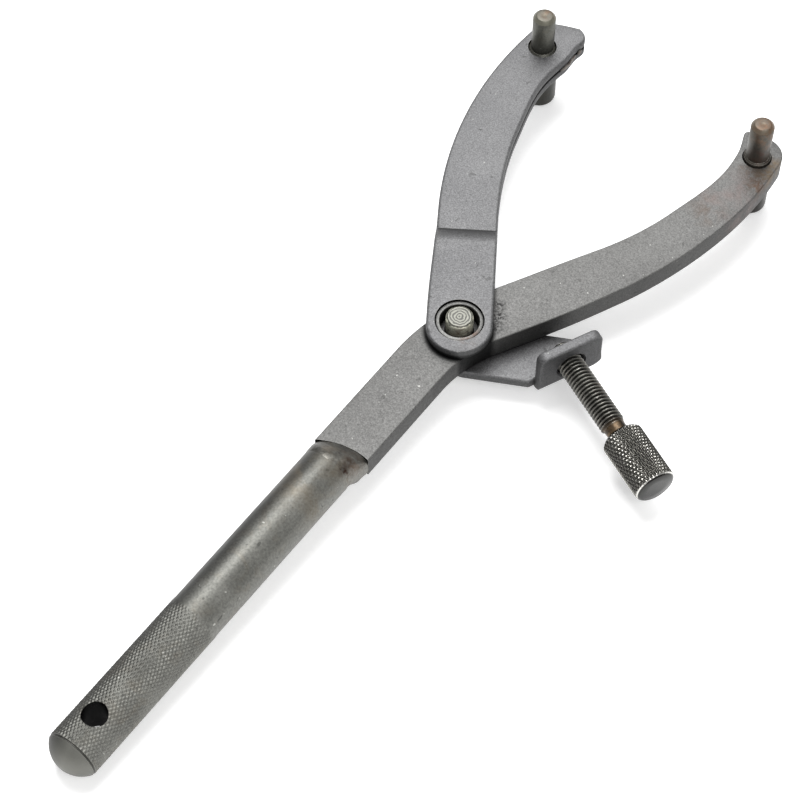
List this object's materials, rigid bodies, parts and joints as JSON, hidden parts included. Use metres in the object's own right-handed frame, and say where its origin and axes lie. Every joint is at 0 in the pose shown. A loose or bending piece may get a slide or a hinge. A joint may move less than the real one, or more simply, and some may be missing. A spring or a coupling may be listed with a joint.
{
  "type": "adjustable two-pin spanner",
  "caption": "Adjustable two-pin spanner: knurled round handle, fixed flat arm, hinged twin-plate arm, a double-ended peg in each tip and a knurled thumbscrew stop.",
  "frame": {"origin": "centre of the pivot pin's lower end face, on the pivot axis", "axes": "+Y towards the peg tips and the handle along -Y; +Z along the pivot axis towards the thin peg ends; +X towards the fixed arm's bow and the thumbscrew"},
  "size_m": [0.1306, 0.2994, 0.0408],
  "materials": {
    "handle_steel": "plain round bar, dull, with a rolled diamond knurl near its end",
    "bar_steel": "shot-blasted flat bar, matt, rust at the tip",
    "plate_steel": "shot-blasted plate, matt, rolled edges",
    "peg_steel": "turned bare steel, semi-gloss, a little rust",
    "pivot_steel": "turned bare steel",
    "screw_steel": "dark oiled thread and knurl with bright crests",
    "weld_metal": "rough weld bead, browned"
  },
  "bodies": {
    "handle": {"handle_rod": "handle_steel", "handle_weld": "weld_metal", "fixed_arm": "bar_steel", "fixed_peg": "peg_steel"},
    "swing_arm": {"swing_upper_plate": "plate_steel", "swing_lower_plate": "plate_steel", "tip_weld_inner": "weld_metal", "tip_weld_corner": "weld_metal", "swing_peg": "peg_steel", "pivot_bush": "pivot_steel", "pivot_pin": "pivot_steel"},
    "stud": {"screw_stud": "screw_steel"},
    "knob": {"screw_knob": "screw_steel"}
  },
  "joints": [
    {"name": "swing_arm_pivot", "type": "hinge", "parent": "handle", "child": "swing_arm", "pos_m": [0, 0, 0.0096], "axis": [0, 0, 1], "range_deg": [-22, 6]},
    {"name": "screw_travel", "type": "slide", "parent": "swing_arm", "child": "stud", "axis": [0.9063, -0.4226, 0], "range_m": [-0.003, 0.005]},
    {"name": "knob_spin", "type": "hinge", "parent": "stud", "child": "knob", "pos_m": [0.07729, -0.00934, 0.0096], "axis": [0.9063, -0.4226, 0], "range_deg": [-865, 1441]}
  ],
  "couplings": [
    {"joint": "knob_spin", "follows": "screw_travel", "rad_per_m": 5026.5}
  ]
}
